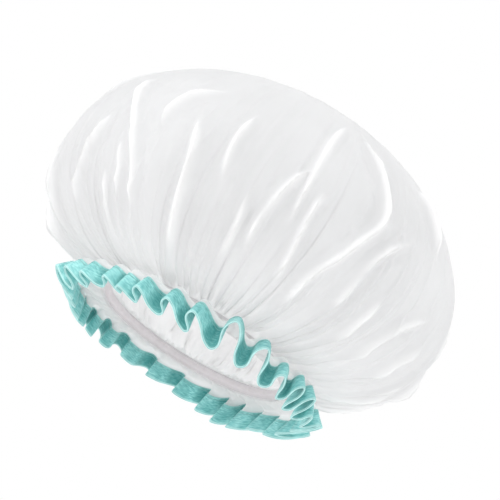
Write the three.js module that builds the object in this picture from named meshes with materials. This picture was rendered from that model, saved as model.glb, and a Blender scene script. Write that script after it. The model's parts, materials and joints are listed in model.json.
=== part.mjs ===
// A gathered shower cap. One sheet of frosted film is puffed into a crown, drawn in by an elastic that
// runs in a casing sewn inside it, and left standing below the casing as a ruffled frill. A folded tape
// binds the frill's cut edge.
// Millimetres, +Z up. The origin is the centre of the opening, at the middle of the elastic.
// A bearing turns round +Z, from the front of the cap at -Y towards +X.

import * as THREE from "three";

// Crown
const CROWN_RADIUS = 120; // the puffed crown at its widest
const CROWN_RISE = 85; // from its widest level up to the apex
const BELLY_DROP = 58; // from its widest level down to the casing
const FILM_THICKNESS = 0.2;

// Opening: the elastic, and the casing strip that holds it against the film
const OPENING_RADIUS = 58; // the film where the relaxed elastic draws it in
const ELASTIC_WIDTH = 3;
const ELASTIC_THICKNESS = 0.8;
const ELASTIC_LAP = 14; // the elastic's ends lie over each other for this length
const CASING_THICKNESS = 0.3;
const CASING_FLANGE = 1.2; // the casing's margin that is sewn to the film

// Frill and the tape folded over its edge
const FRILL_DEPTH = 30; // from the casing to the cut edge, along the film
const FRILL_WAVES = 30;
const BINDING_WIDTH = 10; // the folded tape, as it shows on each face
const TAPE_THICKNESS = 0.4;
const FRILL_FLARE = THREE.MathUtils.degToRad(99); // how far the frill stands out from straight down
const FRILL_BEND = 6; // length in which it bends down above the tape
const TAPE_FLARE = THREE.MathUtils.degToRad(12); // how far the hanging tape stands out
const TAPE_SWING = THREE.MathUtils.degToRad(6); // how far a crest or trough swings it from there
const WAVE_REACH = 5; // how far a crest stands off the middle of the wave
const WAVE_LIFT = 1.5; // how far the tape is lifted on a crest, and drops in a trough
const WAVE_LEAN = 2.4; // how far a crest leans over the trough beside it
const WAVE_CURL = 1; // how far a crest swells past its own neck
const WAVE_ONSET = 1.5; // how late on the way to the cut edge the waves set in

// Chance differences between the waves: times round the cap, size and shift of each sway
const WAVE_SPACING_SWAYS = [[4, 0.055, -0.6]];
const WAVE_STRENGTH_SWAYS = [[3, 0.22, 0.63], [7, 0.12, 2]];

// Sewing
const THREAD = 0.3; // thread thickness
const BINDING_STITCH_INSET = 1.5; // from the tape's raw edge to its seam
const TACK_WIDTH = 2.4; // bar tack that holds the elastic's lap, across the elastic
const TACK_LENGTH = 6;
const TACK_TURNS = 5;

// Space that neighbouring pieces keep
const CLEARANCE = 0.3;

// Folds and gathers that the slack film stands up in
const GATHER_HEIGHT = 1.6;
const GATHER_CLIMB = 0.1; // share of the way to the apex in which gathers die out
const TAUT_CLIMB = 0.75; // share of the way above which folds die out
const SECOND_FOLD = 0.4; // how much of a lower fold shows where it runs into a higher one
const FOLD_WIDTH = 9; // from a fold's crest to where its side has lost most of its height
const FOLD_CREST = 0.35; // roundness of a crest, as a share of that width
const FOLD_END = 0.12; // how much of its height a fold keeps at its two ends
const FOLD_FULLNESS = 0.7; // below 1, a fold keeps its height over more of its length

// Each fold: its height, and the places that its crest passes, as a bearing in degrees and a climb
// from 0 at the casing to 1 at the apex.
const FRONT_FOLDS = [
  [3.5, [-72, 0.09], [-65, 0.22], [-57, 0.33], [-54, 0.44]],
  [2, [-52, 0.08], [-48, 0.18], [-49, 0.27]],
  [2.5, [-46, 0.1], [-45, 0.24], [-47, 0.34]],
  [3.5, [-38, 0.08], [-39, 0.23], [-45, 0.34], [-55, 0.46], [-57, 0.56]],
  [4.5, [-24, 0.08], [-23, 0.2], [-25, 0.34], [-31, 0.47]],
  [3, [-38, 0.35], [-38, 0.42], [-36, 0.49], [-28, 0.56]],
  [2, [-16, 0.08], [-16, 0.24]],
  [3.5, [-14, 0.28], [-17, 0.4], [-17, 0.52]],
  [3, [-9, 0.08], [-6, 0.22], [-8, 0.37]],
  [4, [2, 0.09], [-2, 0.26], [0, 0.38], [4, 0.46]],
  [3, [6, 0.26], [4, 0.38], [4, 0.56], [8, 0.7]],
  [3.5, [15, 0.08], [10, 0.23], [8, 0.36], [10, 0.43]],
  [4.5, [23, 0.1], [17, 0.22], [22, 0.35], [26, 0.46], [19, 0.6], [8, 0.7]],
  [4.5, [34, 0.08], [28, 0.26], [30, 0.38], [44, 0.52]],
  [3.5, [45, 0.08], [38, 0.21], [38, 0.33]],
  [3.5, [60, 0.06], [48, 0.2], [50, 0.3], [61, 0.38]],
  [3.5, [78, 0.08], [62, 0.22], [64, 0.35]],
  [3.5, [37, 0.66], [46, 0.58], [50, 0.47]],
];

// The folds round the back run up from the casing as the front ones do, with chance differences
const BACK_FOLDS = 12;
const BACK_FROM = 92; // bearings of the first and last of them
const BACK_TO = 274;
const BACK_FOLD_HEIGHT = 3;
const BACK_HEIGHT_SWAY = 1;
const BACK_FOLD_FOOT = 0.08; // climbs of the two ends
const BACK_FOLD_HEAD = 0.42;
const BACK_HEAD_SWAY = 0.13;
const BACK_DRIFT = 9; // degrees that a crest wanders sideways
const SWAY_RATES = [2.4, 1.7, 2.9]; // radians from fold to fold, for the height, the head and the drift

// Fineness of the facets
const COLUMNS_PER_WAVE = 6;
const UPPER_ROWS = 7;
const BELLY_ROWS = 6;
const RING_STEPS = 48;
const FOLD_STEPS = 8;

// Sizes that follow
const TAU = 2 * Math.PI;
const EDGE_COLUMNS = FRILL_WAVES * COLUMNS_PER_WAVE;
const CROWN_COLUMNS = EDGE_COLUMNS / 2;
const cavityHalf = ELASTIC_WIDTH / 2 + CLEARANCE;
const bandHalf = cavityHalf + CASING_THICKNESS + CASING_FLANGE;
const seamLevel = cavityHalf + CASING_THICKNESS + CASING_FLANGE / 2;
const filmHalf = FILM_THICKNESS / 2;
const elasticOuter = OPENING_RADIUS - filmHalf - CLEARANCE;
const lapInner = elasticOuter - 2 * ELASTIC_THICKNESS;
const tackRadius = lapInner - CLEARANCE - THREAD / 2;
const casingWeb = tackRadius - THREAD / 2 - CLEARANCE;
const bindingStart = 1 - BINDING_WIDTH / FRILL_DEPTH;
const bendStart = bindingStart - FRILL_BEND / FRILL_DEPTH;
const upperShare = (CROWN_RADIUS + CROWN_RISE) / (2 * CROWN_RADIUS + CROWN_RISE + BELLY_DROP - OPENING_RADIUS);

function finish(name, geometry, look) {
  const mesh = new THREE.Mesh(geometry, new THREE.MeshStandardMaterial(look));
  mesh.name = name;
  return mesh;
}

const FILM_LOOK = { color: 0xf1f2f2, roughness: 0.38, metalness: 0, transparent: true, opacity: 0.92 };
const TAPE_LOOK = { color: 0x77b8b7, roughness: 0.6, metalness: 0 };
const TAPE_THREAD_LOOK = { color: 0x86c6c3, roughness: 0.7, metalness: 0 };
const ELASTIC_LOOK = { color: 0xeeeae4, roughness: 0.85, metalness: 0 };
const THREAD_LOOK = { color: 0xf6f4f4, roughness: 0.7, metalness: 0 };

// Round the cap

function sway(terms, turn) {
  return terms.reduce((sum, [times, size, shift]) => sum + size * Math.sin(TAU * times * turn + shift), 0);
}

function bearingOf(turn) {
  return TAU * turn + sway(WAVE_SPACING_SWAYS, turn);
}

function around(radius, bearing, level) {
  return new THREE.Vector3(radius * Math.sin(bearing), -radius * Math.cos(bearing), level);
}

// Crown: half an ellipse over the widest level, and a belly that tucks in to the casing below it

function crownProfile(climb) {
  const fall = 1 - climb;
  if (fall < upperShare) {
    const angle = (fall / upperShare) * (Math.PI / 2);
    return [CROWN_RADIUS * Math.sin(angle), bandHalf + BELLY_DROP + CROWN_RISE * Math.cos(angle)];
  }
  const angle = ((fall - upperShare) / (1 - upperShare)) * (Math.PI / 2);
  const reach = CROWN_RADIUS - OPENING_RADIUS;
  return [OPENING_RADIUS + reach * Math.cos(angle), bandHalf + BELLY_DROP * (1 - Math.sin(angle))];
}

function plainCrown(bearing, climb) {
  const [radius, level] = crownProfile(climb);
  return around(radius, bearing, level);
}

function plainCrownNormal(bearing, climb) {
  const step = 1e-4;
  const [lowRadius, lowLevel] = crownProfile(Math.max(climb - step, 0));
  const [highRadius, highLevel] = crownProfile(Math.min(climb + step, 1));
  return around(highLevel - lowLevel, bearing, lowRadius - highRadius).normalize();
}

function foldPath(places) {
  const points = places.map(([degrees, climb]) => plainCrown(THREE.MathUtils.degToRad(degrees), climb));
  const curve = new THREE.CatmullRomCurve3(points, false, "centripetal");
  return curve.getPoints(FOLD_STEPS * (places.length - 1));
}

function backFold(index) {
  const start = THREE.MathUtils.lerp(BACK_FROM, BACK_TO, index / (BACK_FOLDS - 1));
  const [heightSway, headSway, driftSway] = SWAY_RATES.map((rate) => Math.sin(rate * (index + 1)));
  const height = BACK_FOLD_HEIGHT + BACK_HEIGHT_SWAY * heightSway;
  const head = BACK_FOLD_HEAD + BACK_HEAD_SWAY * headSway;
  const drift = BACK_DRIFT * driftSway;
  return [height, [start, BACK_FOLD_FOOT], [start + drift / 2, head / 2], [start + drift, head]];
}

const folds = [...FRONT_FOLDS, ...Array.from({ length: BACK_FOLDS }, (_, index) => backFold(index))].map(
  ([height, ...places]) => ({ height, path: foldPath(places) }),
);

// The height of one fold at a point: full along its crest, easing off towards both of its ends
function foldHeight({ height, path }, point) {
  const segment = new THREE.Line3();
  const nearest = new THREE.Vector3();
  let least = Infinity;
  let along = 0;
  for (let i = 0; i < path.length - 1; i += 1) {
    segment.set(path[i], path[i + 1]);
    const share = segment.closestPointToPointParameter(point, true);
    const distance = segment.at(share, nearest).distanceTo(point);
    if (distance < least) {
      least = distance;
      along = (i + share) / (path.length - 1);
    }
  }
  const across = Math.exp(FOLD_CREST - Math.hypot(least / FOLD_WIDTH, FOLD_CREST));
  const fromEnd = THREE.MathUtils.lerp(FOLD_END, 1 - FOLD_END, along);
  return height * across * Math.sin(Math.PI * fromEnd) ** FOLD_FULLNESS;
}

function slack(turn, climb, point) {
  const gather = GATHER_HEIGHT * Math.cos(TAU * FRILL_WAVES * turn) * Math.exp(-climb / GATHER_CLIMB);
  const [tallest, second] = folds.map((fold) => foldHeight(fold, point)).sort((a, b) => b - a);
  const heldAtCasing = THREE.MathUtils.smoothstep(climb, 0, GATHER_CLIMB);
  const tautOnTop = 1 - THREE.MathUtils.smoothstep(climb, TAUT_CLIMB, 1);
  return (gather + tallest + SECOND_FOLD * second) * heldAtCasing * tautOnTop;
}

function crownPoint(turn, climb) {
  const bearing = bearingOf(turn);
  const point = plainCrown(bearing, climb);
  return point.addScaledVector(plainCrownNormal(bearing, climb), slack(turn, climb, point.clone()));
}

// Frill: it leaves the casing almost level and bends down to the tape, and its waves grow on the way

function frillPoint(turn, down) {
  const steps = 12;
  const phase = TAU * FRILL_WAVES * turn;
  const strength = 1 + sway(WAVE_STRENGTH_SWAYS, turn);
  const crest = strength * Math.cos(phase);
  const bentAt = (share) => THREE.MathUtils.smoothstep(share, bendStart, bindingStart);
  const flareAt = (share) => THREE.MathUtils.lerp(FRILL_FLARE, TAPE_FLARE + TAPE_SWING * crest, bentAt(share));
  let radius = OPENING_RADIUS;
  let level = -bandHalf;
  for (let i = 0; i < steps; i += 1) {
    const flare = flareAt((down * (i + 0.5)) / steps);
    radius += (FRILL_DEPTH * down * Math.sin(flare)) / steps;
    level -= (FRILL_DEPTH * down * Math.cos(flare)) / steps;
  }
  const grown = down ** WAVE_ONSET;
  radius += WAVE_REACH * crest * grown * Math.cos(flareAt(down));
  level += WAVE_REACH * crest * grown * Math.sin(flareAt(down)) + WAVE_LIFT * crest * grown * bentAt(down);
  const lean = strength * WAVE_CURL * Math.sin(2 * phase) - WAVE_LEAN * crest;
  return around(radius, bearingOf(turn) + (lean * grown) / radius, level);
}

function frillNormal(turn, down) {
  const step = 1 / EDGE_COLUMNS;
  const rise = 0.1;
  const across = frillPoint(turn + step, down).sub(frillPoint(turn - step, down));
  const along = frillPoint(turn, Math.min(down + rise, 1)).sub(frillPoint(turn, down - rise));
  return along.cross(across).normalize();
}

// A row of the film is a ring of points with the directions that its outer face looks in

function ringOf(columns, place) {
  return Array.from({ length: columns }, (_, column) => place(column / columns));
}

function crownRow(climb) {
  const step = 0.25 / CROWN_COLUMNS;
  const rise = 0.004;
  return ringOf(CROWN_COLUMNS, (turn) => {
    const across = crownPoint(turn + step, climb).sub(crownPoint(turn - step, climb));
    const along = crownPoint(turn, climb + rise).sub(crownPoint(turn, climb - rise));
    return { point: crownPoint(turn, climb), normal: across.cross(along).normalize() };
  });
}

function bandRow(level, tilt) {
  return ringOf(EDGE_COLUMNS, (turn) => ({
    point: around(OPENING_RADIUS, bearingOf(turn), level),
    normal: around(Math.cos(tilt), bearingOf(turn), Math.sin(tilt)),
  }));
}

function frillRow(down) {
  return ringOf(EDGE_COLUMNS, (turn) => ({ point: frillPoint(turn, down), normal: frillNormal(turn, down) }));
}

// Solids

function solid(points, faces) {
  const geometry = new THREE.BufferGeometry().setFromPoints(points);
  geometry.setIndex(faces.flat());
  geometry.computeVertexNormals();
  return geometry;
}

// Triangles between two rings of points, the first ring above; the second may have twice as many
function stitch(upper, lower, upperCount, lowerCount) {
  const faces = [];
  for (let i = 0; i < upperCount; i += 1) {
    const a = upper + i;
    const b = upper + ((i + 1) % upperCount);
    if (upperCount === lowerCount) {
      const c = lower + i;
      const d = lower + ((i + 1) % lowerCount);
      faces.push([a, c, d], [a, d, b]);
    } else {
      const c = lower + 2 * i;
      const d = lower + 2 * i + 1;
      const e = lower + ((2 * i + 2) % lowerCount);
      faces.push([a, c, d], [a, d, b], [b, d, e]);
    }
  }
  return faces;
}

// The film: an outer and an inner skin over the same rows, joined along the cut edge
function filmGeometry(apex, rows) {
  const points = [];
  const faces = [];
  const skins = [1, -1].map((side) => {
    const top = points.push(apex.clone().add(new THREE.Vector3(0, 0, side * filmHalf))) - 1;
    const starts = rows.map((row) => {
      const start = points.length;
      row.forEach(({ point, normal }) => points.push(point.clone().addScaledVector(normal, side * filmHalf)));
      return start;
    });
    const skin = rows[0].map((_, i) => [top, starts[0] + i, starts[0] + ((i + 1) % rows[0].length)]);
    for (let i = 0; i < rows.length - 1; i += 1) {
      skin.push(...stitch(starts[i], starts[i + 1], rows[i].length, rows[i + 1].length));
    }
    faces.push(...(side > 0 ? skin : skin.map(([a, b, c]) => [a, c, b])));
    return starts;
  });
  const edge = rows.length - 1;
  faces.push(...stitch(skins[0][edge], skins[1][edge], EDGE_COLUMNS, EDGE_COLUMNS));
  return solid(points, faces);
}

// A closed ring swept through the given sections, each a loop of points that turns the same way.
// The side after point j of the loop is split along its other diagonal where crossed(j) says so.
function ringGeometry(sections, crossed = () => false) {
  const count = sections[0].length;
  const faces = [];
  sections.forEach((_, i) => {
    const next = (i + 1) % sections.length;
    for (let j = 0; j < count; j += 1) {
      const a = i * count + j;
      const b = i * count + ((j + 1) % count);
      const c = next * count + j;
      const d = next * count + ((j + 1) % count);
      faces.push(...(crossed(j) ? [[a, c, b], [b, c, d]] : [[a, c, d], [a, d, b]]));
    }
  });
  return solid(sections.flat(), faces);
}

function turnedRing(section) {
  return ringGeometry(
    Array.from({ length: RING_STEPS }, (_, i) => {
      const bearing = (TAU * i) / RING_STEPS;
      return section.map(([radius, level]) => around(radius, bearing, level));
    }),
  );
}

// Pieces

function crownFilm() {
  const belly = 1 - upperShare;
  const rows = [];
  for (let i = 1; i <= UPPER_ROWS; i += 1) {
    rows.push(crownRow(1 - (upperShare * i) / UPPER_ROWS));
  }
  for (let i = 1; i < BELLY_ROWS; i += 1) {
    rows.push(crownRow(belly * (1 - i / BELLY_ROWS)));
  }
  rows.push(bandRow(bandHalf, -Math.PI / 4));
  rows.push(bandRow(-bandHalf, Math.PI / 4));
  rows.push(frillRow(bendStart), frillRow(bindingStart), frillRow(1));
  return filmGeometry(plainCrown(0, 1), rows);
}

function casing() {
  const seat = elasticOuter;
  const back = seat - CASING_THICKNESS;
  const web = casingWeb;
  const webBack = casingWeb - CASING_THICKNESS;
  const wall = cavityHalf + CASING_THICKNESS;
  const outward = [[seat, bandHalf], [seat, cavityHalf], [web, cavityHalf]];
  const inward = [[webBack, wall], [back, wall], [back, bandHalf]];
  const mirrored = (side) => side.map(([radius, level]) => [radius, -level]).reverse();
  return turnedRing([...outward, ...mirrored(outward), ...mirrored(inward), ...inward].reverse());
}

// The elastic is one strip whose ends lie over each other at the back, where it is twice as thick
function elastic() {
  const half = ELASTIC_WIDTH / 2;
  const lapHalf = ELASTIC_LAP / 2 / elasticOuter;
  const slope = 0.1 * lapHalf;
  const fromLapEnd = (bearing) => Math.abs(bearing - Math.PI) - lapHalf;
  const ring = Array.from({ length: RING_STEPS }, (_, i) => (TAU * (i + 0.5)) / RING_STEPS);
  const ends = [-lapHalf, slope - lapHalf, lapHalf - slope, lapHalf].map((edge) => Math.PI + edge);
  const bearings = [...ring.filter((bearing) => Math.abs(fromLapEnd(bearing)) > 2 * slope), ...ends];
  bearings.sort((a, b) => a - b);
  const sections = bearings.map((bearing) => {
    const doubled = fromLapEnd(bearing) < -slope / 2;
    const inner = doubled ? lapInner : elasticOuter - ELASTIC_THICKNESS;
    const section = [[elasticOuter, -half], [elasticOuter, half], [inner, half], [inner, -half]];
    return section.map(([radius, level]) => around(radius, bearing, level));
  });
  return ringGeometry(sections);
}

// The tape lies on both faces of the film and folds round its cut edge
function binding() {
  const near = filmHalf + CLEARANCE;
  const far = near + TAPE_THICKNESS;
  const top = frillRow(bindingStart);
  const edge = frillRow(1);
  const sections = top.map((start, i) => {
    const end = edge[i];
    const down = end.point.clone().sub(start.point).normalize();
    const at = (place, out, beyond) =>
      place.point.clone().addScaledVector(place.normal, out).addScaledVector(down, beyond);
    const fold = CLEARANCE + TAPE_THICKNESS;
    return [
      at(start, near, 0), at(end, near, CLEARANCE), at(end, -near, CLEARANCE), at(start, -near, 0),
      at(start, -far, 0), at(end, -far, fold), at(end, far, fold), at(start, far, 0),
    ];
  });
  const runsUp = (side) => side === 2 || side === 6; // these sides run from the edge back to the start
  return ringGeometry(sections, runsUp); // so that every layer bends along the film's own diagonals
}

function threadSection(centre, out, along) {
  const radius = THREAD / 2;
  return [0, 1, 2].map((corner) => {
    const angle = (TAU * corner) / 3 + Math.PI;
    return centre
      .clone()
      .addScaledVector(out, radius * Math.cos(angle))
      .addScaledVector(along, -radius * Math.sin(angle));
  });
}

function casingThread(radius, level) {
  const section = [0, 1, 2].map((corner) => {
    const angle = (TAU * corner) / 3;
    return [radius + (THREAD / 2) * Math.cos(angle), level + (THREAD / 2) * Math.sin(angle)];
  });
  return turnedRing(section);
}

// side is 1 on the face of the tape that looks out, -1 on the face that looks in
function bindingThread(side) {
  const out = side * (filmHalf + CLEARANCE + TAPE_THICKNESS + CLEARANCE + THREAD / 2);
  const top = frillRow(bindingStart);
  const edge = frillRow(1);
  const share = BINDING_STITCH_INSET / BINDING_WIDTH;
  const seam = (start, end, down) => {
    const normal = start.normal.clone().lerp(end.normal, share);
    const centre = start.point.clone().lerp(end.point, share).addScaledVector(normal, out);
    return threadSection(centre, normal.normalize(), down);
  };
  // One section on each column, and one where the seam crosses the bend between it and the next
  const sections = top.flatMap((start, i) => {
    const down = edge[i].point.clone().sub(start.point).normalize();
    return [seam(start, edge[i], down), seam(start, edge[(i + 1) % EDGE_COLUMNS], down)];
  });
  return ringGeometry(sections);
}

// A zigzag of thread over the lap of the elastic
function barTack() {
  const stops = 2 * TACK_TURNS + 1;
  const points = Array.from({ length: stops }, (_, i) => {
    const bearing = Math.PI + ((i / (stops - 1) - 0.5) * TACK_LENGTH) / tackRadius;
    return around(tackRadius, bearing, (i % 2 ? 0.5 : -0.5) * TACK_WIDTH);
  });
  const path = new THREE.CatmullRomCurve3(points, false, "centripetal");
  const round = new THREE.Shape().absarc(0, 0, THREAD / 2, 0, TAU);
  return new THREE.ExtrudeGeometry(round, { steps: 4 * (stops - 1), curveSegments: 2, extrudePath: path });
}

const outsideRow = OPENING_RADIUS + filmHalf + CLEARANCE + THREAD / 2;
const insideRow = elasticOuter - CASING_THICKNESS - CLEARANCE - THREAD / 2;

const cap = new THREE.Group();
cap.add(
  finish("crown_film", crownFilm(), FILM_LOOK),
  finish("elastic_casing", casing(), FILM_LOOK),
  finish("elastic_band", elastic(), ELASTIC_LOOK),
  finish("elastic_bar_tack", barTack(), THREAD_LOOK),
  finish("edge_binding", binding(), TAPE_LOOK),
  finish("casing_upper_needle_thread", casingThread(insideRow, seamLevel), THREAD_LOOK),
  finish("casing_upper_bobbin_thread", casingThread(outsideRow, seamLevel), THREAD_LOOK),
  finish("casing_lower_needle_thread", casingThread(insideRow, -seamLevel), THREAD_LOOK),
  finish("casing_lower_bobbin_thread", casingThread(outsideRow, -seamLevel), THREAD_LOOK),
  finish("binding_needle_thread", bindingThread(1), TAPE_THREAD_LOOK),
  finish("binding_bobbin_thread", bindingThread(-1), TAPE_THREAD_LOOK),
);

export default cap;
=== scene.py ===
import json
import math

import bpy
import numpy as np
from mathutils import Matrix, Vector

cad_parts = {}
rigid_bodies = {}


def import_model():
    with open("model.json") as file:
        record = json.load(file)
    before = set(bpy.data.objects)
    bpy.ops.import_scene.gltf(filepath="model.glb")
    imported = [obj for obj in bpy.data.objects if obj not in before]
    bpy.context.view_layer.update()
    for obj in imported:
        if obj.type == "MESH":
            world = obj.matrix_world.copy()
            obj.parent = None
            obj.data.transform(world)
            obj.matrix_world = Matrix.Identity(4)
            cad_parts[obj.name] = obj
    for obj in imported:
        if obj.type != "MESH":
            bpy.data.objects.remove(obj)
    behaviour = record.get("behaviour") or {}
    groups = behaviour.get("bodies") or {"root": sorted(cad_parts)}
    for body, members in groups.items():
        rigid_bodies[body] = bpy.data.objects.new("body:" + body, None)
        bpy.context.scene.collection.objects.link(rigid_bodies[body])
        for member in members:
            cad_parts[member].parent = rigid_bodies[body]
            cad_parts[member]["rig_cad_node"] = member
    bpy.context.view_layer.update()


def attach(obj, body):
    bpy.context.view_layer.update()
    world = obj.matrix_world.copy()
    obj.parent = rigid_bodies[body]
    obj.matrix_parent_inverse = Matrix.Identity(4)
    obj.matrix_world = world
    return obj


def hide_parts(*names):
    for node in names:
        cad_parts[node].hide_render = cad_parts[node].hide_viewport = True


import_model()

# A gathered shower cap of frosted film with a ruffled, tape-bound frill.
# Shapes are worked out in millimetres and become metres as each mesh is made. A bearing turns round +Z
# from the front of the cap at -Y towards +X, and turn counts it in whole turns. A climb runs over the crown
# from 0 at the casing to 1 at the apex. A sway is a wave round the cap: times in a turn, size and shift.

MM = 0.001
TAU = 2 * math.pi

# The part's own sizes
CROWN_RADIUS = 120
CROWN_RISE = 85
BELLY_DROP = 58
FILM_THICKNESS = 0.2
OPENING_RADIUS = 58
ELASTIC_WIDTH = 3
ELASTIC_THICKNESS = 0.8
CASING_THICKNESS = 0.3
CASING_FLANGE = 1.2
FRILL_DEPTH = 30
FRILL_WAVES = 30
BINDING_WIDTH = 10
FRILL_FLARE = math.radians(99)
FRILL_BEND = 6
TAPE_FLARE = math.radians(12)
WAVE_ONSET = 1.5
WAVE_SPACING_SWAYS = [(4, 0.055, -0.6)]
WAVE_STRENGTH_SWAYS = [(3, 0.22, 0.63), (7, 0.12, 2)]
THREAD = 0.3
BINDING_STITCH_INSET = 1.5
CLEARANCE = 0.3

# The waves of the tape are fuller here than in the part, and flatter round one place
TAPE_SWING = math.radians(9)
WAVE_REACH = 5.7
WAVE_LIFT = 3.3
WAVE_LEAN = 3.8
WAVE_CURL = 1.5
TAPE_THICKNESS = 0.35
FLAT_TURN = -0.13
FLAT_SPREAD = 0.07
FLAT_SHARE = 0.5
FOLD_SHARPNESS = 0.95

# Sizes that follow from these
CAVITY_HALF = ELASTIC_WIDTH / 2 + CLEARANCE
BAND_HALF = CAVITY_HALF + CASING_THICKNESS + CASING_FLANGE
SEAM_LEVEL = CAVITY_HALF + CASING_THICKNESS + CASING_FLANGE / 2
FILM_HALF = FILM_THICKNESS / 2
TAPE_NEAR = FILM_HALF + CLEARANCE / 3
ELASTIC_OUTER = OPENING_RADIUS - FILM_HALF - CLEARANCE
CASING_WEB = ELASTIC_OUTER - 2 * ELASTIC_THICKNESS - 2 * CLEARANCE - THREAD
BINDING_START = 1 - BINDING_WIDTH / FRILL_DEPTH
BEND_START = BINDING_START - FRILL_BEND / FRILL_DEPTH
UPPER_SHARE = (CROWN_RADIUS + CROWN_RISE) / (2 * CROWN_RADIUS + CROWN_RISE + BELLY_DROP - OPENING_RADIUS)

# Folds in front: height, width, and the places that the crest passes, as a bearing in degrees and a climb
FRONT_FOLDS = [
    (3.5, 2.6, [(-72, 0.03), (-65, 0.22), (-58, 0.32), (-57, 0.4)]),
    (2.2, 2.2, [(-53, 0.03), (-50, 0.18), (-51, 0.27)]),
    (2.5, 2.3, [(-46, 0.03), (-45, 0.24), (-48, 0.33)]),
    (3.3, 2.6, [(-38, 0.03), (-39, 0.23), (-44, 0.34), (-53, 0.46), (-57, 0.56)]),
    (4.5, 3.4, [(-24, 0.03), (-23, 0.2), (-25, 0.34), (-31, 0.47)]),
    (3, 2.8, [(-37, 0.37), (-38, 0.42), (-36, 0.49), (-28, 0.56)]),
    (2.4, 1.8, [(-16, 0.03), (-16, 0.24)]),
    (3.5, 2.6, [(-14, 0.28), (-17, 0.4), (-17, 0.52)]),
    (3.2, 2.2, [(-9, 0.03), (-6, 0.22), (-8, 0.37)]),
    (4, 2.6, [(2, 0.03), (-2, 0.26), (0, 0.38), (4, 0.46)]),
    (3, 2.2, [(6, 0.26), (4, 0.38), (4, 0.56), (8, 0.7)]),
    (3.5, 2.2, [(15, 0.03), (10, 0.23), (8, 0.36), (10, 0.43)]),
    (3.8, 2.8, [(23, 0.03), (17, 0.22), (22, 0.35), (26, 0.46), (19, 0.6), (8, 0.7)]),
    (4.1, 2.4, [(34, 0.03), (28, 0.26), (30, 0.38), (44, 0.52)]),
    (3.5, 2.2, [(45, 0.03), (38, 0.21), (38, 0.33)]),
    (3.5, 2.6, [(60, 0.03), (48, 0.2), (50, 0.3), (61, 0.38)]),
    (3.5, 2.6, [(78, 0.03), (62, 0.22), (64, 0.35)]),
    (3.5, 3, [(37, 0.66), (46, 0.58), (50, 0.47)]),
]

# Folds round the back, evenly spread, which vary by sines of their number
BACK_FOLDS = 12
BACK_FROM = 92
BACK_TO = 274
BACK_FOLD_HEIGHT = 3.6
BACK_HEIGHT_SWAY = 1
BACK_FOLD_WIDTH = 2.6
BACK_FOLD_FOOT = 0.03
BACK_FOLD_HEAD = 0.42
BACK_HEAD_SWAY = 0.13
BACK_DRIFT = 9
SWAY_RATES = (2.4, 1.7, 2.9)

# Lesser folds round the sides and back, drawn at random from these ranges
MINOR_FOLDS = 44
MINOR_FROM = 78
MINOR_TO = 285
MINOR_FOOT = 0.03
MINOR_MIDDLES = (0.2, 0.4)
MINOR_TOPS = (0.4, 0.6)
MINOR_LENGTHS = (0.25, 0.42)
MINOR_DRIFTS = (-7, 7)
MINOR_BOWS = (-2.5, 2.5)
MINOR_HEIGHTS = (1.8, 3.4)
MINOR_WIDTHS = (1.6, 2.6)

# The shape of a fold, across it in its widths and along it as a share of its length
FOLD_STEPS = 8
FOLD_GAIN = 1.45
CREST_SHARE = 0.78
CREST_ROUNDING = 0.3
CREST_PINCH = 0.44
SWELL_WIDTH = 4
SWELL_REACH = 3
TROUGH_PLACE = 2.3
TROUGH_WIDTH = 1.1
TROUGH_SHARE = 0.32
FOOT_EASE = (0, 0.35)
TIP_EASE = (0.7, 1.02)
TIP_SLIMMING = 0.5
# How far a crest's whitening reaches, and the fold height at which it is full: partly film pinched double,
# partly a painted highlight along the crest
WHITE_REACH = 0.65
FULL_WHITE_HEIGHT = 2.5

# Where folds begin and end on the crown, and how much of a second fold adds to the first
CASING_CLIMB = 0.1
FOLDS_RISE = (0.02, 0.12)
TAUT_CLIMB = 0.75
SECOND_FOLD = 0.6

# Gathers above the casing, drawn at random from these ranges, how the film sinks there, how their crests
# whiten, partly as film bunched double and partly as a painted highlight, and how far up and how strongly
# painted light lifts the film's shade over the band and frill and just above the casing
GATHERS = 104
GATHER_SHIFTS = (-0.35, 0.35)
GATHER_WIDTHS = (0.8, 1.4)
GATHER_LENGTHS = (0.1, 0.32)
GATHER_HEIGHTS = (3, 6.1)
GATHER_ROUNDING = 0.4
GATHERS_RISE = (0, 0.02)
GATHER_WHITENS = 30
SINK_DEPTH = 5
SINK_REACH = 0.2
NECK_PAINTED_LIGHT_REACH = 0.13
NECK_PAINTED_LIGHT = 0.7

# Fine pleats between the casing and the tape
PLEATS = 84
PLEAT_WANDER = [(5, 2, 0)]
COARSE_PLEATS = [(53, 0.5, 1)]
PLEAT_HEIGHT = 1.1
PLEATS_RISE = (0, 0.1)
PLEATS_FADE = 0.2

# Puckers of the casing's seams, and the wrinkles and rounding of its ridge
PUCKERS = 61
PUCKER_WANDERS = 5
PUCKER_WANDER = 1.3
FINE_PUCKERS = 97
FINE_PUCKER_SHARE = 0.5
FINE_PUCKER_SHIFT = 2
PUCKER_PUSH = 0.5
WRINKLE_RATE = 1.31
WRINKLE_SHIFT = 0.4
WRINKLE_DEPTH = 0.5
CASING_INNER_ROUND = 0.6
CASING_OUTER_ROUND = 0.5

# The tape's groove at its seam, its puff, and where the painted shade in its folds and the painted highlight
# at its edges fall
GROOVE_DEPTH = 0.15
GROOVE_WIDTH = 0.6
TAPE_PUFF = 0.12
EDGE_MARGIN = 0.06
HIDDEN_ACROSS = 0.5
OPEN_WAVE = (-1, 0.4)

# The elastic's lap at the back, its ribs and the room round it
LAP_END = (0.13, 0.11)
LAP_GAIN = 0.9
RIBS = 180
RIB_HEIGHT = 0.08
ELASTIC_SLACK = 0.1

# Stitches
STITCH_LENGTH = 2.6
STITCH_DIP = 0.3
STITCH_FULLNESS = 0.5
SEAM_STEP = 0.02

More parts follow.
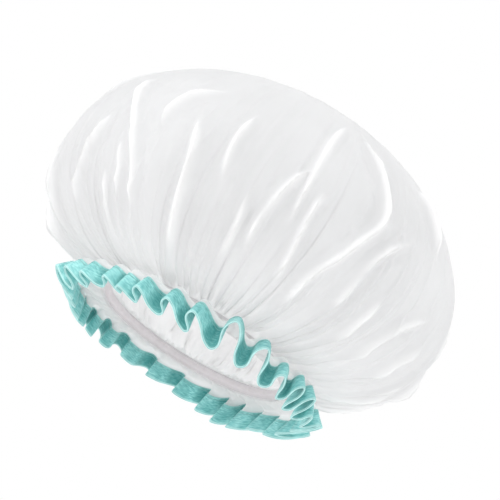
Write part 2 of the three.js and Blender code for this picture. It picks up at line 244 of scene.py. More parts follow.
# Fineness of the meshes
WAVE_COLUMNS = 32
COLUMNS = FRILL_WAVES * WAVE_COLUMNS
UPPER_ROWS = 120
BELLY_ROWS = 84
BAND_ROWS = 8
FRILL_ROWS = 26
FRILL_STEPS = 12
TAPE_ROWS = 12
TAPE_EDGE_ROWS = 5
CASING_ROWS = 27
ELASTIC_COLUMNS = 360
THREAD_SIDES = 6
CASING_THREAD_COLUMNS = 1400
BINDING_THREAD_COLUMNS = 3600

# Chance changes from wave to wave of the frill
SEED = 11
SPACING_SEED = 13
rng = np.random.default_rng(SEED)
REACH_JITTER = rng.uniform(-0.25, 0.25, FRILL_WAVES)
LEAN_JITTER = rng.uniform(-0.25, 0.25, FRILL_WAVES)
LIFT_JITTER = rng.uniform(-1.8, 1.8, FRILL_WAVES)
SWING_JITTER = rng.uniform(-0.16, 0.16, FRILL_WAVES)
PHASE_JITTER = np.random.default_rng(SPACING_SEED).uniform(-0.65, 0.65, FRILL_WAVES)


# Helpers for shapes

def ease(low, high, value):
    """From 0 at low to 1 at high, changing smoothly between them."""
    share = np.clip((value - low) / (high - low), 0, 1)
    return share * share * (3 - 2 * share)


def bell(distance):
    return np.exp(-(distance**2))


def sharp(distance, rounding):
    """1 at no distance and falling steeply, from a crest that is slightly rounded."""
    return np.exp(rounding - np.hypot(distance, rounding))


def sway(terms, turn):
    return sum(size * np.sin(TAU * times * turn + shift) for times, size, shift in terms)


def jitter(values, turn):
    """One value to each wave of the frill, changing smoothly from each to the next."""
    place = turn * FRILL_WAVES
    wave = np.floor(place).astype(int)
    share = ease(0, 1, place - wave)
    here = values[wave % FRILL_WAVES]
    return here + (values[(wave + 1) % FRILL_WAVES] - here) * share


def wave_phase(turn):
    """The angle of the frill's waves, which are unevenly long."""
    return TAU * FRILL_WAVES * turn + jitter(PHASE_JITTER, turn)


def unit(vectors):
    return vectors / np.linalg.norm(vectors, axis=-1, keepdims=True)


def normals_of(points):
    """Directions that a grid of points (rows, columns, 3) faces, with closed columns and open rows."""
    across = np.roll(points, -1, axis=1) - np.roll(points, 1, axis=1)
    along = np.gradient(points, axis=0)
    return unit(np.cross(along, across))


def around(radius, bearing, level):
    return np.stack(np.broadcast_arrays(radius * np.sin(bearing), -radius * np.cos(bearing), level), -1)


def bearing_of(turn):
    return TAU * turn + sway(WAVE_SPACING_SWAYS, turn)


# Helpers for meshes

def make_object(name, points, faces, material, uv=None, replaces=()):
    mesh = bpy.data.meshes.new(name)
    mesh.from_pydata((np.asarray(points) * MM).tolist(), [], faces)
    mesh.polygons.foreach_set("use_smooth", [True] * len(mesh.polygons))
    if uv is not None:
        layer = mesh.uv_layers.new(name="cloth")
        corners = np.empty(len(mesh.loops), dtype=np.int32)
        mesh.loops.foreach_get("vertex_index", corners)
        layer.data.foreach_set("uv", np.asarray(uv)[corners].ravel())
    mesh.update()
    obj = bpy.data.objects.new(name, mesh)
    bpy.context.collection.objects.link(obj)
    mesh.materials.append(material)
    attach(obj, "root")
    if replaces:
        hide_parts(*replaces)
    return obj


def paint(obj, name, values):
    """A value at each point of the mesh, for its material to read."""
    layer = obj.data.attributes.new(name, "FLOAT", "POINT")
    layer.data.foreach_set("value", values)


def thicken(obj, thickness):
    thick = obj.modifiers.new("thickness", "SOLIDIFY")
    thick.thickness = thickness * MM
    thick.offset = 0


def grid_faces(rows, columns, start=0, wrap_rows=False):
    """Quads between rows of points that each close on themselves.

    With wrap_rows, the last row joins the first as well."""
    faces = []
    for r in range(rows if wrap_rows else rows - 1):
        low = start + r * columns
        high = start + ((r + 1) % rows) * columns
        for c in range(columns):
            d = (c + 1) % columns
            faces.append((low + c, high + c, high + d, low + d))
    return faces


# The crown

def crown_profile(climb):
    """Radius and level of the plain crown: a quarter ellipse above its widest level and another below."""
    fall = 1 - np.asarray(climb, dtype=float)
    upper = np.minimum(fall / UPPER_SHARE, 1) * math.pi / 2
    lower = np.clip((fall - UPPER_SHARE) / (1 - UPPER_SHARE), 0, 1) * math.pi / 2
    above = fall < UPPER_SHARE
    reach = CROWN_RADIUS - OPENING_RADIUS
    radius = np.where(above, CROWN_RADIUS * np.sin(upper), OPENING_RADIUS + reach * np.cos(lower))
    top = BAND_HALF + BELLY_DROP
    level = np.where(above, top + CROWN_RISE * np.cos(upper), BAND_HALF + BELLY_DROP * (1 - np.sin(lower)))
    return radius, level


def plain_crown(bearing, climb):
    radius, level = crown_profile(climb)
    return around(radius, bearing, level)


def smooth_path(points, steps):
    """A curve through the points, by cubic pieces whose slopes come from their neighbours."""
    points = np.asarray(points)
    slopes = np.gradient(points, axis=0)
    share = np.linspace(0, 1, steps, endpoint=False)[:, None]
    pieces = []
    for a, b, m, n in zip(points[:-1], points[1:], slopes[:-1], slopes[1:]):
        blend = share * share * (3 - 2 * share)
        bend = share * (1 - share) ** 2 * m - share * share * (1 - share) * n
        pieces.append(a + (b - a) * blend + bend)
    return np.concatenate([*pieces, points[-1:]])


def back_fold(index):
    start = BACK_FROM + (BACK_TO - BACK_FROM) * index / (BACK_FOLDS - 1)
    height_sway, head_sway, drift_sway = (math.sin(rate * (index + 1)) for rate in SWAY_RATES)
    height = BACK_FOLD_HEIGHT + BACK_HEIGHT_SWAY * height_sway
    head = BACK_FOLD_HEAD + BACK_HEAD_SWAY * head_sway
    drift = BACK_DRIFT * drift_sway
    places = [(start, BACK_FOLD_FOOT), (start + drift / 2, head / 2), (start + drift, head)]
    return height, BACK_FOLD_WIDTH, places


def minor_folds():
    """Lesser folds, each a bent crest. Of every four, two start at the casing and two above it."""
    folds = []
    for i in range(MINOR_FOLDS):
        start = MINOR_FROM + (MINOR_TO - MINOR_FROM) * (i + rng.uniform(0, 1)) / MINOR_FOLDS
        lows = (MINOR_FOOT, MINOR_FOOT, rng.uniform(*MINOR_MIDDLES), rng.uniform(*MINOR_TOPS))
        low = lows[i % len(lows)]
        high = low + rng.uniform(*MINOR_LENGTHS)
        drift, bow = rng.uniform(*MINOR_DRIFTS), rng.uniform(*MINOR_BOWS)
        places = [(start, low), (start + drift / 2 + bow, (low + high) / 2), (start + drift, high)]
        folds.append((rng.uniform(*MINOR_HEIGHTS), rng.uniform(*MINOR_WIDTHS), places))
    return folds


def fold_height(points, height, width, places):
    """How far one fold lifts each of the points, and how close each is to its crest, from 0 to 1, which
    whitens the film there: partly film pinched double, partly a painted highlight along the crest.

    The fold is a sharp crest on a broad swell with a trough on each side. It eases off at its tip, and at
    its foot too unless that is at the casing."""
    degrees, climbs = np.array(places, dtype=float).T
    path = smooth_path(plain_crown(np.radians(degrees), climbs), FOLD_STEPS)
    reach = SWELL_REACH * SWELL_WIDTH * width
    inside = np.all((points > path.min(axis=0) - reach) & (points < path.max(axis=0) + reach), axis=1)
    result = np.zeros((2, len(points)))
    points = points[inside]
    least = np.full(len(points), np.inf)
    along = np.zeros(len(points))
    for i, (a, b) in enumerate(zip(path[:-1], path[1:])):
        run = b - a
        share = np.clip((points - a) @ run / (run @ run), 0, 1)
        distance = np.linalg.norm(points - a - share[:, None] * run, axis=1)
        closer = distance < least
        least = np.where(closer, distance, least)
        along = np.where(closer, (i + share) / (len(path) - 1), along)
    foot = 1 if climbs[0] < CASING_CLIMB else ease(*FOOT_EASE, along)
    ends = foot * (1 - ease(*TIP_EASE, along))
    slim = width * (1 - TIP_SLIMMING * (1 - ends))
    crest = sharp(least / (CREST_PINCH * slim), CREST_ROUNDING)
    swell = bell(least / (SWELL_WIDTH * width))
    white_highlight = bell(least / (WHITE_REACH * slim))
    trough = bell((least / width - TROUGH_PLACE) / TROUGH_WIDTH)
    shape = CREST_SHARE * crest + (1 - CREST_SHARE) * swell - TROUGH_SHARE * trough
    result[0, inside] = height * shape * ends
    result[1, inside] = (crest + white_highlight) / 2 * ends * min(1, height / FULL_WHITE_HEIGHT)
    return FOLD_GAIN * result[0], result[1]


def gather_height(bearing, climb, radius):
    """Short pleats that stand up all round where the elastic draws the film in."""
    total = np.zeros(np.broadcast(bearing, climb).shape)
    for i in range(GATHERS):
        centre = TAU * (i + rng.uniform(*GATHER_SHIFTS)) / GATHERS
        width = rng.uniform(*GATHER_WIDTHS)
        length = rng.uniform(*GATHER_LENGTHS)
        height = rng.uniform(*GATHER_HEIGHTS)
        away = (bearing - centre + math.pi) % TAU - math.pi
        across = sharp(radius * away / width, GATHER_ROUNDING)
        total = np.maximum(total, height * across * np.exp(-climb / length))
    return total


def crown_points(turn, climb):
    """Points of the crown with its folds and gathers, and how creased each is, from 0 to 1, which whitens the
    film there: partly film lying double, partly a painted highlight on the crests.
    """
    bearing = bearing_of(turn)[None, :]
    climb = climb[:, None]
    plain = plain_crown(bearing, climb)
    flat = plain.reshape(-1, 3)
    folds = [*FRONT_FOLDS, *(back_fold(i) for i in range(BACK_FOLDS)), *minor_folds()]
    heights, crests = np.array([fold_height(flat, *fold) for fold in folds]).transpose(1, 0, 2)
    heights.sort(axis=0)
    crease = crests.max(axis=0)
    lift = heights[-1] + SECOND_FOLD * heights[-2] + heights[0] * (1 - crease)
    lift, crease = (values.reshape(plain.shape[:2]) for values in (lift, crease))
    radius, _ = crown_profile(climb)
    gathers = gather_height(bearing, climb, radius)
    sunk = gathers - SINK_DEPTH * np.exp(-climb / SINK_REACH)
    lift = lift * ease(*FOLDS_RISE, climb) + sunk * ease(*GATHERS_RISE, climb)
    lift *= 1 - ease(TAUT_CLIMB, 1, climb)
    # Gather crests whiten too: partly film bunched double, partly a painted highlight
    crease = np.maximum(crease, np.minimum(gathers / GATHER_WHITENS, 1))
    return plain + normals_of(plain) * lift[..., None], crease


# The frill

def frill_points(turn, down):
    """The frill from 0 at the casing to 1 at the cut edge: it leaves almost level, then hangs."""
    turn = turn[None, :]
    down = down[:, None]
    phase = wave_phase(turn)
    calm = 1 - FLAT_SHARE * bell(((turn - FLAT_TURN + 0.5) % 1 - 0.5) / FLAT_SPREAD)
    strength = (1 + sway(WAVE_STRENGTH_SWAYS, turn)) * (1 + jitter(REACH_JITTER, turn)) * calm
    crest = strength * np.arcsin(FOLD_SHARPNESS * np.cos(phase)) / math.asin(FOLD_SHARPNESS)
    hanging = TAPE_FLARE + TAPE_SWING * crest + jitter(SWING_JITTER, turn)

    def flare_at(share):
        return FRILL_FLARE + (hanging - FRILL_FLARE) * ease(BEND_START, BINDING_START, share)

    radius = np.full(np.broadcast(turn, down).shape, float(OPENING_RADIUS))
    level = np.full(radius.shape, -BAND_HALF)
    for i in range(FRILL_STEPS):
        flare = flare_at(down * (i + 0.5) / FRILL_STEPS)
        radius += FRILL_DEPTH * down * np.sin(flare) / FRILL_STEPS
        level -= FRILL_DEPTH * down * np.cos(flare) / FRILL_STEPS
    grown = down**WAVE_ONSET
    flare = flare_at(down)
    reach = WAVE_REACH * crest * grown + pleat_height(turn, down)
    radius += reach * np.cos(flare)
    level += reach * np.sin(flare)
    lift = WAVE_LIFT * strength * crest + jitter(LIFT_JITTER, turn)
    level += lift * grown * ease(BEND_START, BINDING_START, down)
    tilt = WAVE_LEAN * (1 + jitter(LEAN_JITTER, turn)) * calm
    lean = WAVE_CURL * strength * np.sin(2 * phase) - tilt * np.cos(phase)
    return around(radius, bearing_of(turn) + lean * grown / radius, level)


def pleat_height(turn, down):
    """Fine pleats between the casing and the tape."""
    fine = np.sin(TAU * PLEATS * turn + sway(PLEAT_WANDER, turn)) + sway(COARSE_PLEATS, turn)
    return PLEAT_HEIGHT * fine * ease(*PLEATS_RISE, down) * (1 - ease(PLEATS_FADE, BEND_START, down))


def pucker(bearing):
    """How far the seams' puckers push the film and the casing, between 0 and 1."""
    wander = PUCKER_WANDER * np.sin(PUCKER_WANDERS * bearing)
    fine = FINE_PUCKER_SHARE * np.sin(FINE_PUCKERS * bearing + FINE_PUCKER_SHIFT)
    most = 1 + FINE_PUCKER_SHARE
    return (np.sin(PUCKERS * bearing + wander) + fine + most) / (2 * most)


# Materials: colours, and scales and depths of their textures

WHITE = (1, 1, 1)
RAMP_ENDS = (0.3, 0.7)

# White of creases and gather crests: partly film lying double, partly a painted highlight
CREASE_WHITE_AND_HIGHLIGHT = (0.985, 0.985, 0.985)
FILM_ROUGHNESS = 0.34
FILM_IOR = 1.45
FILM_PATCH_SCALE = 18
FROST_SCALE = 1600
FROST_ROUGHNESS = (0.28, 0.42)
FROST_BUMP = 0.08
FROST_DEPTH = 0.0002
CREASE_RANGE = (0.1, 0.9)
PLAIN_TRANSLUCENCE = 0.84
CREASE_TRANSLUCENCE = 0.12

TAPE_BASE = (0.18, 0.48, 0.47)
TAPE_DARK = (0.15, 0.56, 0.55)
TAPE_LIGHT = (0.52, 0.95, 0.93)
# Painted highlight along the tape's rounded fold and its upper edge
TAPE_EDGE_HIGHLIGHT = (0.6, 0.9, 0.88)
# Painted sheen: the tape's colour darkens in broad random patches, as a satin sheen comes and goes
SHEEN_PATCH_SHADE = (0.5, 0.7, 0.7)
# Painted shade inside the tape's folds
FOLD_SHADE = (0.42, 0.62, 0.62)
TAPE_ROUGHNESS = 0.42
TAPE_SHEEN = 0.15
TAPE_SHEEN_ROUGHNESS = 0.4
TAPE_SHEEN_TINT = (0.75, 1, 0.98)
STREAK_SCALE = (0.3, 16, 1)
SHEEN_PATCH_SCALE = (0.11, 1.2, 1)
WEAVE_SCALE = 9
WEAVE_BUMP = 0.35
WEAVE_DEPTH = 0.00012
# Places across the tape, and the share of the painted edge highlight there
EDGE_STOPS = ((0.05, 0.15), (0.12, 0), (0.88, 0), (0.95, 0.15))

THREAD_ROUGHNESS = 0.6
THREAD_SHEEN = 0.2
THREAD_SHADE = 0.8
THREAD_SCALE = 2500


def new_material(name, colour, roughness, **settings):
    material = bpy.data.materials.new(name)
    material.use_nodes = True
    shader = material.node_tree.nodes["Principled BSDF"]
    shader.inputs["Base Color"].default_value = (*colour, 1)
    shader.inputs["Roughness"].default_value = roughness
    for key, value in settings.items():
        shader.inputs[key.replace("_", " ")].default_value = value
    return material, material.node_tree, shader


def add_node(tree, kind, **settings):
    node = tree.nodes.new(kind)
    for key, value in settings.items():
        if key in node.inputs:
            node.inputs[key].default_value = value
        else:
            setattr(node, key, value)
    return node


def attribute(tree, name):
    return add_node(tree, "ShaderNodeAttribute", attribute_name=name).outputs["Fac"]


def larger(tree, first, second):
    node = add_node(tree, "ShaderNodeMath", operation="MAXIMUM")
    tree.links.new(first, node.inputs[0])
    tree.links.new(second, node.inputs[1])
    return node.outputs["Value"]


def mix_shaders(tree, share, first, second):
    node = add_node(tree, "ShaderNodeMixShader")
    tree.links.new(share, node.inputs["Fac"])
    tree.links.new(first, node.inputs[1])
    tree.links.new(second, node.inputs[2])
    return node.outputs["Shader"]


def noise_ramp(tree, vector, scale, low, high, detail=4):
    """A noise whose middle range runs between two colours."""
    noise = add_node(tree, "ShaderNodeTexNoise", Scale=scale, Detail=detail)
    tree.links.new(vector, noise.inputs["Vector"])
    ramp = add_node(tree, "ShaderNodeValToRGB")
    for stop, position, colour in zip(ramp.color_ramp.elements, RAMP_ENDS, (low, high)):
        stop.position = position
        stop.color = (*colour, 1)
    tree.links.new(noise.outputs["Fac"], ramp.inputs["Fac"])
    return ramp.outputs["Color"]


def add_bump(tree, shader, height, strength, distance):
    bump = add_node(tree, "ShaderNodeBump", Strength=strength, Distance=distance)
    tree.links.new(height, bump.inputs["Height"])
    tree.links.new(bump.outputs["Normal"], shader.inputs["Normal"])


def film_material(name, low, high):
    """Frosted film that lets light through, less so on its creases. It is whiter on its creases and gather
    crests, partly as film lying double and partly as a painted highlight, and whiter over the band and frill
    and just above the casing as painted light that lifts the shade there.
    """
    material, tree, shader = new_material(name, high, FILM_ROUGHNESS, IOR=FILM_IOR)
    place = add_node(tree, "ShaderNodeTexCoord").outputs["Object"]
    crease = attribute(tree, "crease")
    # The colour whitens with the painted highlight on creases and gather crests (partly film lying double),
    # and with the painted light that lifts the shade near the casing
    mix = add_node(tree, "ShaderNodeMix", data_type="RGBA")
    mix.inputs["B"].default_value = (*CREASE_WHITE_AND_HIGHLIGHT, 1)
    tree.links.new(larger(tree, crease, attribute(tree, "neck_light")), mix.inputs["Factor"])
    tree.links.new(noise_ramp(tree, place, FILM_PATCH_SCALE, low, high), mix.inputs["A"])
    colour = mix.outputs["Result"]
    tree.links.new(colour, shader.inputs["Base Color"])

    frost = add_node(tree, "ShaderNodeTexNoise", Scale=FROST_SCALE, Detail=3)
    tree.links.new(place, frost.inputs["Vector"])
    least, most = FROST_ROUGHNESS
    rough = add_node(tree, "ShaderNodeMapRange", **{"To Min": least, "To Max": most})
    tree.links.new(frost.outputs["Fac"], rough.inputs["Value"])
    tree.links.new(rough.outputs["Result"], shader.inputs["Roughness"])
    add_bump(tree, shader, frost.outputs["Fac"], FROST_BUMP, FROST_DEPTH)

    glow = add_node(tree, "ShaderNodeBsdfTranslucent")
    tree.links.new(colour, glow.inputs["Color"])
    through = add_node(tree, "ShaderNodeMapRange", **{
        "From Min": CREASE_RANGE[0], "From Max": CREASE_RANGE[1],
        "To Min": PLAIN_TRANSLUCENCE, "To Max": CREASE_TRANSLUCENCE})
    tree.links.new(crease, through.inputs["Value"])
    both = mix_shaders(tree, through.outputs["Result"], shader.outputs["BSDF"], glow.outputs["BSDF"])
    tree.links.new(both, tree.nodes["Material Output"].inputs["Surface"])
    return material


def tape_material():
    """Woven tape with streaks, broad patches of painted sheen and shade, painted shade inside the folds of its
    waves and a painted highlight at its edges.
    """
    material, tree, shader = new_material(
        "tape_weave", TAPE_BASE, TAPE_ROUGHNESS, Sheen_Weight=TAPE_SHEEN,
        Sheen_Roughness=TAPE_SHEEN_ROUGHNESS, Sheen_Tint=(*TAPE_SHEEN_TINT, 1))
    cloth = add_node(tree, "ShaderNodeTexCoord").outputs["UV"]

    def stretched(scale, low, high, detail):
        mapping = add_node(tree, "ShaderNodeMapping", Scale=scale)
        tree.links.new(cloth, mapping.inputs["Vector"])
        return noise_ramp(tree, mapping.outputs["Vector"], 1, low, high, detail)

    shaded = stretched(STREAK_SCALE, TAPE_DARK, TAPE_LIGHT, 4)
    # Broad random patches of painted sheen and shade
    sheen_patches = stretched(SHEEN_PATCH_SCALE, SHEEN_PATCH_SHADE, WHITE, 1)
    # Painted shade: darker inside the folds of the tape's waves
    painted_fold_shade = add_node(tree, "ShaderNodeValToRGB")
    for stop, colour in zip(painted_fold_shade.color_ramp.elements, (FOLD_SHADE, WHITE)):
        stop.color = (*colour, 1)
    tree.links.new(attribute(tree, "openness"), painted_fold_shade.inputs["Fac"])
    for tone in (sheen_patches, painted_fold_shade.outputs["Color"]):
        product = add_node(tree, "ShaderNodeMix", data_type="RGBA", blend_type="MULTIPLY")
        product.inputs["Factor"].default_value = 1
        tree.links.new(shaded, product.inputs["A"])
        tree.links.new(tone, product.inputs["B"])
        shaded = product.outputs["Result"]

    # Painted highlight along the tape's rounded fold and its upper edge
    edge = add_node(tree, "ShaderNodeValToRGB")
    stops = edge.color_ramp.elements
    for stop, position in zip(stops, (0, 1)):
        stop.position = position
        stop.color = (*WHITE, 1)
    for position, value in EDGE_STOPS:
        stops.new(position).color = (value, value, value, 1)
    split = add_node(tree, "ShaderNodeSeparateXYZ")
    tree.links.new(cloth, split.inputs["Vector"])
    tree.links.new(split.outputs["Y"], edge.inputs["Fac"])
    mix = add_node(tree, "ShaderNodeMix", data_type="RGBA")
    mix.inputs["B"].default_value = (*TAPE_EDGE_HIGHLIGHT, 1)
    tree.links.new(edge.outputs["Color"], mix.inputs["Factor"])
    tree.links.new(shaded, mix.inputs["A"])
    tree.links.new(mix.outputs["Result"], shader.inputs["Base Color"])

    weave = add_node(tree, "ShaderNodeTexWave", Scale=WEAVE_SCALE, bands_direction="DIAGONAL")
    tree.links.new(cloth, weave.inputs["Vector"])
    add_bump(tree, shader, weave.outputs["Fac"], WEAVE_BUMP, WEAVE_DEPTH)
    return material


def thread_material(name, colour):
    material, tree, shader = new_material(name, colour, THREAD_ROUGHNESS, Sheen_Weight=THREAD_SHEEN)
    place = add_node(tree, "ShaderNodeTexCoord").outputs["Object"]
    low = tuple(THREAD_SHADE * c for c in colour)
    tree.links.new(noise_ramp(tree, place, THREAD_SCALE, low, colour), shader.inputs["Base Color"])
    return material


FILM = film_material("frosted_film", (0.885, 0.885, 0.887), (0.925, 0.925, 0.927))
CASING_FILM = film_material("casing_film", (0.91, 0.895, 0.905), (0.95, 0.935, 0.945))
TAPE = tape_material()
WHITE_THREAD = thread_material("white_thread", (0.88, 0.86, 0.87))
TEAL_THREAD = thread_material("teal_thread", (0.28, 0.6, 0.58))
ELASTIC = thread_material("braided_elastic", (0.85, 0.83, 0.8))


# Pieces

turns = np.arange(COLUMNS) / COLUMNS
bearings = bearing_of(turns)


def band_points(levels):
    push = PUCKER_PUSH * pucker(bearings)[None, :] * (1 - (levels[:, None] / BAND_HALF) ** 2)
    return around(OPENING_RADIUS + push, bearings[None, :], levels[:, None])


def film_rows():
    """Rows of the film from below the apex to the cut edge, how creased each point is, and how much painted
    light lifts the shade of the film at each, over the band and frill and just above the casing.
    """
    fall = np.concatenate([
        UPPER_SHARE * np.arange(1, UPPER_ROWS) / UPPER_ROWS,
        UPPER_SHARE + (1 - UPPER_SHARE) * np.linspace(0, 1, BELLY_ROWS, endpoint=False),
    ])
    levels = np.linspace(BAND_HALF, -BAND_HALF, BAND_ROWS)
    down = np.arange(1, FRILL_ROWS + 1) / FRILL_ROWS
    crown, crease = crown_points(turns, 1 - fall)
    rows = np.concatenate([crown, band_points(levels), frill_points(turns, down)])
    below = len(rows) - len(crown)
    crease = np.concatenate([crease, np.zeros((below, COLUMNS))])
    climb = np.concatenate([1 - fall, np.zeros(below)])
    # Painted light: the film is whitened over the band and frill and in a band just above the casing, lifting
    # the shade under the crown's belly
    neck_light = np.repeat(NECK_PAINTED_LIGHT * bell(climb / NECK_PAINTED_LIGHT_REACH), COLUMNS)
    return rows, crease.ravel(), neck_light


def make_film():
    rows, crease, neck_light = film_rows()
    points = np.concatenate([plain_crown(0, 1).reshape(1, 3), rows.reshape(-1, 3)])
    cap = [(0, 1 + c, 1 + (c + 1) % COLUMNS) for c in range(COLUMNS)]
    film = make_object("crown_film_sheet", points, cap + grid_faces(len(rows), COLUMNS, 1), FILM,
                       replaces=["crown_film"])
    # Closeness to a crest: it thins the film's translucence and whitens it, partly as a painted highlight
    paint(film, "crease", np.concatenate([[0], crease]))
    # Painted light that lifts the shade near the casing
    paint(film, "neck_light", np.concatenate([[0], neck_light]))
    thicken(film, FILM_THICKNESS)
    return film


def tape_surface():
    """Points and directions of the frill under the tape, from its raw edge to the cut edge of the film."""
    down = np.linspace(BINDING_START, 1, TAPE_ROWS)
    wide = np.concatenate([[2 * down[0] - down[1]], down])
    points = frill_points(turns, wide)
    return points[1:], normals_of(points)[1:]


def make_tape():
    """The tape as one closed section round the film's edge, and its length along the cut edge."""
    points, out = tape_surface()
    inset = np.linspace(0, BINDING_WIDTH, len(points))
    groove = GROOVE_DEPTH * bell((inset - BINDING_STITCH_INSET) / GROOVE_WIDTH)
    puff = TAPE_PUFF * np.sin(math.pi * inset / BINDING_WIDTH)
    far = TAPE_NEAR + TAPE_THICKNESS + puff - groove
    down = unit(points[-1] - points[-2])
    outer = points + out * far[:, None, None]
    inner = points - out * far[:, None, None]
    angles = np.linspace(0, math.pi, TAPE_EDGE_ROWS + 2)[1:-1]
    fold = [points[-1] + far[-1] * (out[-1] * math.cos(a) + down * math.sin(a)) for a in angles]
    hidden = [points[end] + side * out[end] * TAPE_NEAR for end, side in ((0, -1), (-1, -1), (-1, 1), (0, 1))]
    section = np.concatenate([outer, np.array(fold), inner[::-1], np.array(hidden)])
    # How far across the tape each row lies; the middle of the rounded fold gets the most painted edge
    # highlight
    share = inset / BINDING_WIDTH
    fold_share = 1 - EDGE_MARGIN * np.abs(np.cos(angles))
    across = np.concatenate([share, fold_share, share[::-1], [HIDDEN_ACROSS] * len(hidden)])
    length = np.cumsum(np.linalg.norm(np.roll(points[-1], -1, axis=0) - points[-1], axis=1))
    uv = np.stack(np.broadcast_arrays(length[None, :], across[:, None]), -1).reshape(-1, 2)
    faces = grid_faces(len(section), COLUMNS, wrap_rows=True)
    tape = make_object("edge_binding_tape", section.reshape(-1, 3), faces, TAPE, uv=uv,
                       replaces=["edge_binding"])
    # Painted shade: each face is darkened where the wave curves away from it, on the outer face where it dips
    # in and on the inner face where it bulges out
    wave = np.cos(wave_phase(turns))
    outside, inside = ease(*OPEN_WAVE, wave), ease(*OPEN_WAVE, -wave)
    between = (outside + inside) / 2
    rows = [outside] * len(outer) + [between] * len(fold) + [inside] * len(inner) + [between] * len(hidden)
    paint(tape, "openness", np.concatenate(rows))
    return tape, length[-1]


def make_casing():
    depth = ELASTIC_OUTER - CASING_WEB
    levels = np.linspace(BAND_HALF, -BAND_HALF, CASING_ROWS)
    inside = 1 - ease(CAVITY_HALF - CASING_INNER_ROUND, CAVITY_HALF + CASING_OUTER_ROUND, np.abs(levels))
    wrinkle = pucker(bearings * WRINKLE_RATE + WRINKLE_SHIFT)
    radius = (ELASTIC_OUTER - CASING_THICKNESS / 2 - depth * inside[:, None]
              - WRINKLE_DEPTH * inside[:, None] * wrinkle[None, :])
    points = around(radius, bearings[None, :], levels[:, None])
    casing = make_object("casing_strip", points.reshape(-1, 3), grid_faces(len(points), COLUMNS), CASING_FILM,
                         replaces=["elastic_casing"])
    thicken(casing, CASING_THICKNESS)
    return casing


def make_elastic():
    bearing = np.arange(ELASTIC_COLUMNS) * TAU / ELASTIC_COLUMNS
    lap = ease(*LAP_END, np.abs(bearing - math.pi))
    rib = RIB_HEIGHT * np.sin(bearing * RIBS)
    half = ELASTIC_WIDTH / 2
    section = [(0, -half), (0, half), (1, half), (1, half / 2), (1, 0), (1, -half / 2), (1, -half)]
    depth = ELASTIC_THICKNESS * (1 + LAP_GAIN * lap) + rib - 2 * ELASTIC_SLACK
    rows = [around(ELASTIC_OUTER - ELASTIC_SLACK - side * depth, bearing, level) for side, level in section]
    faces = grid_faces(len(rows), ELASTIC_COLUMNS, wrap_rows=True)
    make_object("elastic_strip", np.array(rows).reshape(-1, 3), faces, ELASTIC,
                replaces=["elastic_band"])


def make_thread(name, path, out, material, replaces):
    """A row of stitches along a closed path: the thread rises over each stitch and dips at its ends."""
    step = np.linalg.norm(np.roll(path, -1, axis=0) - path, axis=1)
    length = np.cumsum(step) - step
    stitches = round(step.sum() / STITCH_LENGTH)
    wave = np.abs(np.sin(math.pi * length / step.sum() * stitches)) ** STITCH_FULLNESS
    side = np.cross(unit(np.roll(path, -1, axis=0) - np.roll(path, 1, axis=0)), out)
    centre = path + out * (STITCH_DIP * wave - STITCH_DIP)[:, None]
    angles = np.arange(THREAD_SIDES) * TAU / THREAD_SIDES
    rows = [centre + THREAD / 2 * (out * math.cos(a) + side * math.sin(a)) for a in angles]
    faces = grid_faces(len(rows), len(path), wrap_rows=True)
    make_object(name, np.array(rows).reshape(-1, 3), faces, material, replaces=replaces)


def resample(points, out, count):
    """The same closed path with evenly spaced points."""
    step = np.linalg.norm(np.roll(points, -1, axis=0) - points, axis=1)
    length = np.concatenate([[0], np.cumsum(step)])
    at = np.linspace(0, length[-1], count, endpoint=False)

    def spaced(values):
        closed = np.concatenate([values, values[:1]])
        return np.stack([np.interp(at, length, closed[:, k]) for k in range(3)], 1)

    return spaced(points), unit(spaced(out))


def make_casing_threads():
    outside = OPENING_RADIUS + FILM_HALF + CLEARANCE + THREAD / 2
    inside = ELASTIC_OUTER - CASING_THICKNESS - CLEARANCE - THREAD / 2
    ring = np.arange(CASING_THREAD_COLUMNS) * TAU / CASING_THREAD_COLUMNS
    for row, level in (("upper", SEAM_LEVEL), ("lower", -SEAM_LEVEL)):
        for face, radius, way in (("needle", inside, -1), ("bobbin", outside, 1)):
            node = f"casing_{row}_{face}_thread"
            make_thread(node + "_stitches", around(radius, ring, level), way * around(1, ring, 0),
                        WHITE_THREAD, [node])


def make_binding_threads():
    down = BINDING_START + BINDING_STITCH_INSET / FRILL_DEPTH
    points = frill_points(turns, np.array([down - SEAM_STEP, down, down + SEAM_STEP]))
    out = normals_of(points)[1]
    height = TAPE_NEAR + TAPE_THICKNESS + THREAD / 2
    for face, way in (("needle", 1), ("bobbin", -1)):
        node = f"binding_{face}_thread"
        path, direction = resample(points[1] + way * out * height, way * out, BINDING_THREAD_COLUMNS)
        make_thread(node + "_stitches", path, direction, TEAL_THREAD, [node])


film = make_film()
tape, tape_length = make_tape()
casing = make_casing()
make_elastic()
make_casing_threads()
make_binding_threads()

# The bar tack keeps its CAD solid and takes the thread's material
tack = next(o for o in bpy.data.objects if o.get("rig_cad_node") == "elastic_bar_tack")
tack.data.materials.clear()
tack.data.materials.append(WHITE_THREAD)


# Stage: floor, light and camera, in metres

FLOOR_DROP = 0.5
FLOOR_SIZE = 60
FLOOR_BOUNCE = (0.88, 0.88, 0.88)
FLOOR_SEEN = (0.7, 0.7, 0.7)
FLOOR_ROUGHNESS = 0.9
WORLD_STRENGTH = 1.06
LAMP_AIM = (0, 0, 0.06)
# Name, place, size and power of each lamp
LAMPS = [
    ("key_softbox", (-0.9, -0.9, 1.1), (1, 1), 7),
    ("left_softbox", (-1.6, 0.1, 1.0), (1.2, 1.8), 7),
    ("right_softbox", (1.6, 0.1, 1.0), (1.2, 1.8), 7),
    ("top_softbox", (0, 0.3, 1.7), (1.8, 1.4), 5),
]
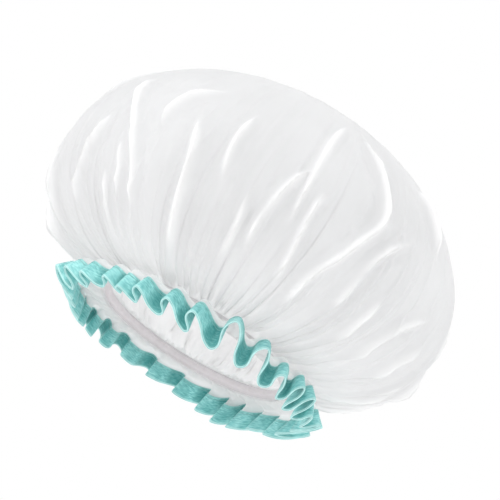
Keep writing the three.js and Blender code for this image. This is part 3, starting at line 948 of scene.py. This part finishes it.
# The camera looks up at the cap, rolled, with the middle of the opening at this pixel of the photograph
ELEVATION = math.radians(-17)
ROLL = math.radians(31.5)
DISTANCE = 1.3
SENSOR_WIDTH = 36
PIXELS_PER_METRE = 1810
FRAME_PIXELS = 500
OPENING_PIXEL = (195.5, 337.6)


def make_floor():
    """A pale floor that keeps the cap's shadow and can be looked through from below."""
    mesh = bpy.data.meshes.new("floor")
    half = FLOOR_SIZE / 2
    corners = [(-half, -half, 0), (half, -half, 0), (half, half, 0), (-half, half, 0)]
    mesh.from_pydata(corners, [], [(0, 1, 2, 3)])
    floor = bpy.data.objects.new("floor", mesh)
    floor.location.z = -FLOOR_DROP
    bpy.context.collection.objects.link(floor)
    material, tree, lit = new_material("pale_floor", FLOOR_BOUNCE, FLOOR_ROUGHNESS)
    seen = add_node(tree, "ShaderNodeBsdfDiffuse", Color=(*FLOOR_SEEN, 1))
    path = add_node(tree, "ShaderNodeLightPath")
    top = mix_shaders(tree, path.outputs["Is Camera Ray"], lit.outputs["BSDF"], seen.outputs["BSDF"])
    side = add_node(tree, "ShaderNodeNewGeometry")
    clear = add_node(tree, "ShaderNodeBsdfTransparent")
    both = mix_shaders(tree, side.outputs["Backfacing"], top, clear.outputs["BSDF"])
    tree.links.new(both, tree.nodes["Material Output"].inputs["Surface"])
    mesh.materials.append(material)


def make_world():
    """Even light from all round; the camera, reflections and glass see plain white instead."""
    world = bpy.data.worlds.new("studio")
    bpy.context.scene.world = world
    world.use_nodes = True
    tree = world.node_tree
    lit = tree.nodes["Background"]
    lit.inputs["Color"].default_value = (*WHITE, 1)
    lit.inputs["Strength"].default_value = WORLD_STRENGTH
    white = add_node(tree, "ShaderNodeBackground", Color=(*WHITE, 1), Strength=1)
    path = add_node(tree, "ShaderNodeLightPath")
    seen = larger(tree, path.outputs["Is Camera Ray"], path.outputs["Is Glossy Ray"])
    seen = larger(tree, seen, path.outputs["Is Transmission Ray"])
    both = mix_shaders(tree, seen, lit.outputs["Background"], white.outputs["Background"])
    tree.links.new(both, tree.nodes["World Output"].inputs["Surface"])


def make_lamp(name, place, size, power):
    lamp = bpy.data.lights.new(name, "AREA")
    lamp.shape = "RECTANGLE"
    lamp.size, lamp.size_y = size
    lamp.energy = power
    obj = bpy.data.objects.new(name, lamp)
    obj.location = place
    aim = Vector(LAMP_AIM) - obj.location
    obj.rotation_euler = aim.to_track_quat("-Z", "Y").to_euler()
    bpy.context.collection.objects.link(obj)


def make_camera():
    data = bpy.data.cameras.new("camera")
    data.sensor_width = SENSOR_WIDTH
    data.lens = SENSOR_WIDTH * PIXELS_PER_METRE * DISTANCE / FRAME_PIXELS
    camera = bpy.data.objects.new("camera", data)
    bpy.context.collection.objects.link(camera)
    bpy.context.scene.camera = camera
    ahead = Vector((0, math.cos(ELEVATION), -math.sin(ELEVATION)))
    level_up = Vector((0, math.sin(ELEVATION), math.cos(ELEVATION)))
    level_right = Vector((1, 0, 0))
    right = level_right * math.cos(ROLL) + level_up * math.sin(ROLL)
    up = level_up * math.cos(ROLL) - level_right * math.sin(ROLL)
    middle = FRAME_PIXELS / 2
    across = (middle - OPENING_PIXEL[0]) / PIXELS_PER_METRE
    rise = (OPENING_PIXEL[1] - middle) / PIXELS_PER_METRE
    turn = Matrix((right, up, -ahead)).transposed()
    place = right * across + up * rise - ahead * DISTANCE
    camera.matrix_world = Matrix.Translation(place) @ turn.to_4x4()


make_floor()
make_world()
for lamp in LAMPS:
    make_lamp(*lamp)
make_camera()
bpy.context.scene.view_settings.view_transform = "Standard"
